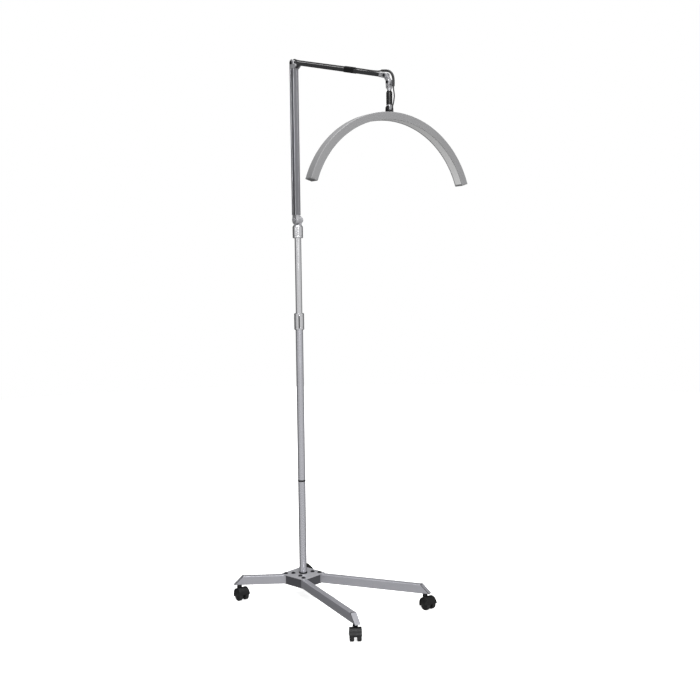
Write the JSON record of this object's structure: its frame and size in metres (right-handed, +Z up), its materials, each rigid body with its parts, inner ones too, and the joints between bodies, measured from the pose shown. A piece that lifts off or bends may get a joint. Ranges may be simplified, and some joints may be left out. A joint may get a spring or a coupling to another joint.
{
  "type": "examination lamp",
  "caption": "Arc-shaped examination lamp hung from a jointed boom on a telescoping column, with a cross-shaped base on swivel casters.",
  "frame": {"origin": "centre of the object's footprint box, on the floor under the casters", "axes": "+Z up along the column; +X along the base's symmetry axis towards the two long legs"},
  "size_m": [0.7546, 0.563, 1.8255],
  "materials": {
    "grey_paint": "satin light grey paint",
    "hub_paint": "satin mid grey paint",
    "plate_metal": "brushed",
    "polished_steel": "polished",
    "arm_aluminium": "satin anodised",
    "cast_metal": "die cast, satin",
    "boom_paint": "dark grey satin",
    "lamp_paint": "satin grey",
    "black_plastic": "fine-grained moulding",
    "wheel_rubber": "smooth",
    "cable_rubber": "smooth cable sheath",
    "bolt_steel": "blackened",
    "white_diffuser": "opal",
    "strip_board": "LED strip board"
  },
  "bodies": {
    "base": {"hub_block": "hub_paint", "hub_top_plate": "plate_metal", "leg_front_left": "grey_paint", "leg_front_right": "grey_paint", "leg_rear_left": "grey_paint", "leg_rear_right": "grey_paint", "leg_cap_front_left": "grey_paint", "leg_cap_front_right": "grey_paint", "leg_cap_rear_left": "grey_paint", "leg_cap_rear_right": "grey_paint", "leg_screws_front_left": "bolt_steel", "leg_screws_front_right": "bolt_steel", "leg_screws_rear_left": "bolt_steel", "leg_screws_rear_right": "bolt_steel", "pole_foot": "black_plastic", "lower_pole": "grey_paint", "pole_joint": "black_plastic", "middle_pole": "grey_paint", "clamp_body": "black_plastic"},
    "clamp_sleeve": {"clamp_sleeve": "cast_metal"},
    "mast": {"upper_pole": "polished_steel", "guide_bush": "black_plastic", "top_collar": "polished_steel"},
    "turret": {"hinge_yoke": "cast_metal", "hinge_bolt": "cast_metal"},
    "hinge_knob": {"hinge_knob": "cast_metal"},
    "lower_arm": {"lower_arm_foot": "cast_metal", "lower_arm_tube": "arm_aluminium", "power_inlet": "black_plastic", "elbow_fork": "cast_metal", "elbow_bolt": "bolt_steel"},
    "boom": {"boom_heel": "boom_paint", "boom_tube": "boom_paint", "boom_fork": "cast_metal", "boom_cable": "cable_rubber", "head_bolt_upper": "bolt_steel"},
    "head_link": {"head_link": "cast_metal", "cable_sleeve": "cable_rubber"},
    "neck": {"neck": "cast_metal", "head_bolt_lower": "bolt_steel"},
    "grip": {"grip": "black_plastic", "tilt_tongue": "cast_metal", "lamp_lead": "cable_rubber"},
    "lamp": {"lamp_housing": "lamp_paint", "diffuser": "white_diffuser", "led_strip": "strip_board", "end_cap_left": "lamp_paint", "end_cap_right": "lamp_paint", "lamp_fork": "black_plastic", "tilt_pin": "bolt_steel", "lead_gland": "black_plastic"},
    "power_button": {"power_button": "black_plastic"},
    "caster_front_left": {"caster_fork_front_left": "black_plastic"},
    "wheels_front_left": {"caster_wheels_front_left": "wheel_rubber"},
    "caster_front_right": {"caster_fork_front_right": "black_plastic"},
    "wheels_front_right": {"caster_wheels_front_right": "wheel_rubber"},
    "caster_rear_left": {"caster_fork_rear_left": "black_plastic"},
    "wheels_rear_left": {"caster_wheels_rear_left": "wheel_rubber"},
    "caster_rear_right": {"caster_fork_rear_right": "black_plastic"},
    "wheels_rear_right": {"caster_wheels_rear_right": "wheel_rubber"}
  },
  "joints": [
    {"name": "clamp_turn", "type": "hinge", "parent": "base", "child": "clamp_sleeve", "pos_m": [-0.20018, 0.08233, 0.957], "axis": [0, 0, 1], "range_deg": [0, 60]},
    {"name": "mast_slide", "type": "slide", "parent": "base", "child": "mast", "axis": [0, 0, 1], "range_m": [-0.24, 0.13]},
    {"name": "turret_swivel", "type": "hinge", "parent": "mast", "child": "turret", "pos_m": [-0.20018, 0.08233, 1.274], "axis": [0, 0, 1], "range_deg": [-170, 170]},
    {"name": "hinge_knob_turn", "type": "hinge", "parent": "turret", "child": "hinge_knob", "pos_m": [-0.20018, 0.08233, 1.298], "axis": [0.1874, 0.9823, 0], "range_deg": [0, 120]},
    {"name": "lower_arm_tilt", "type": "hinge", "parent": "turret", "child": "lower_arm", "pos_m": [-0.20018, 0.08233, 1.298], "axis": [0.1874, 0.9823, 0], "range_deg": [-90, 90]},
    {"name": "elbow_bend", "type": "hinge", "parent": "lower_arm", "child": "boom", "pos_m": [-0.20112, 0.07742, 1.813], "axis": [0.1874, 0.9823, 0], "range_deg": [-70, 30]},
    {"name": "head_link_bend", "type": "hinge", "parent": "boom", "child": "head_link", "pos_m": [0.26318, -0.01115, 1.70083], "axis": [0.1874, 0.9823, 0], "range_deg": [-75, 40], "deforming": ["cable_sleeve"]},
    {"name": "neck_bend", "type": "hinge", "parent": "head_link", "child": "neck", "pos_m": [0.27693, -0.01377, 1.67983], "axis": [0.1874, 0.9823, 0], "range_deg": [-80, 50], "deforming": ["cable_sleeve"]},
    {"name": "grip_swivel", "type": "hinge", "parent": "neck", "child": "grip", "pos_m": [0.27693, -0.01377, 1.67983], "axis": [0, 0, 1], "range_deg": [-150, 150], "deforming": ["lamp_lead"]},
    {"name": "lamp_tilt", "type": "hinge", "parent": "grip", "child": "lamp", "pos_m": [0.27693, -0.01377, 1.60383], "axis": [0.3024, 0.9532, 0], "range_deg": [-50, 70], "deforming": ["lamp_lead"]},
    {"name": "power_button_press", "type": "slide", "parent": "lamp", "child": "power_button", "axis": [0.9532, -0.3024, 0], "range_m": [0, 0.001], "stiffness_N_per_m": 800, "springref_m": -0.0005},
    {"name": "caster_swivel_front_left", "type": "hinge", "parent": "base", "child": "caster_front_left", "pos_m": [0.19282, 0.26033, 0.051], "axis": [0, 0, 1], "continuous": true},
    {"name": "wheel_roll_front_left", "type": "hinge", "parent": "caster_front_left", "child": "wheels_front_left", "pos_m": [0.20749, 0.25721, 0.02], "axis": [0.2079, 0.9781, 0], "continuous": true},
    {"name": "caster_swivel_front_right", "type": "hinge", "parent": "base", "child": "caster_front_right", "pos_m": [0.19282, -0.09567, 0.051], "axis": [0, 0, 1], "continuous": true},
    {"name": "wheel_roll_front_right", "type": "hinge", "parent": "caster_front_right", "child": "wheels_front_right", "pos_m": [0.20324, -0.10646, 0.02], "axis": [0.7193, 0.6947, 0], "continuous": true},
    {"name": "caster_swivel_rear_left", "type": "hinge", "parent": "base", "child": "caster_rear_left", "pos_m": [-0.35618, 0.23833, 0.051], "axis": [0, 0, 1], "continuous": true},
    {"name": "wheel_roll_rear_left", "type": "hinge", "parent": "caster_rear_left", "child": "wheels_rear_left", "pos_m": [-0.34868, 0.25132, 0.02], "axis": [-0.866, 0.5, 0], "continuous": true},
    {"name": "caster_swivel_rear_right", "type": "hinge", "parent": "base", "child": "caster_rear_right", "pos_m": [-0.35618, -0.07367, 0.051], "axis": [0, 0, 1], "continuous": true},
    {"name": "wheel_roll_rear_right", "type": "hinge", "parent": "caster_rear_right", "child": "wheels_rear_right", "pos_m": [-0.34151, -0.07679, 0.02], "axis": [0.2079, 0.9781, 0], "continuous": true}
  ]
}
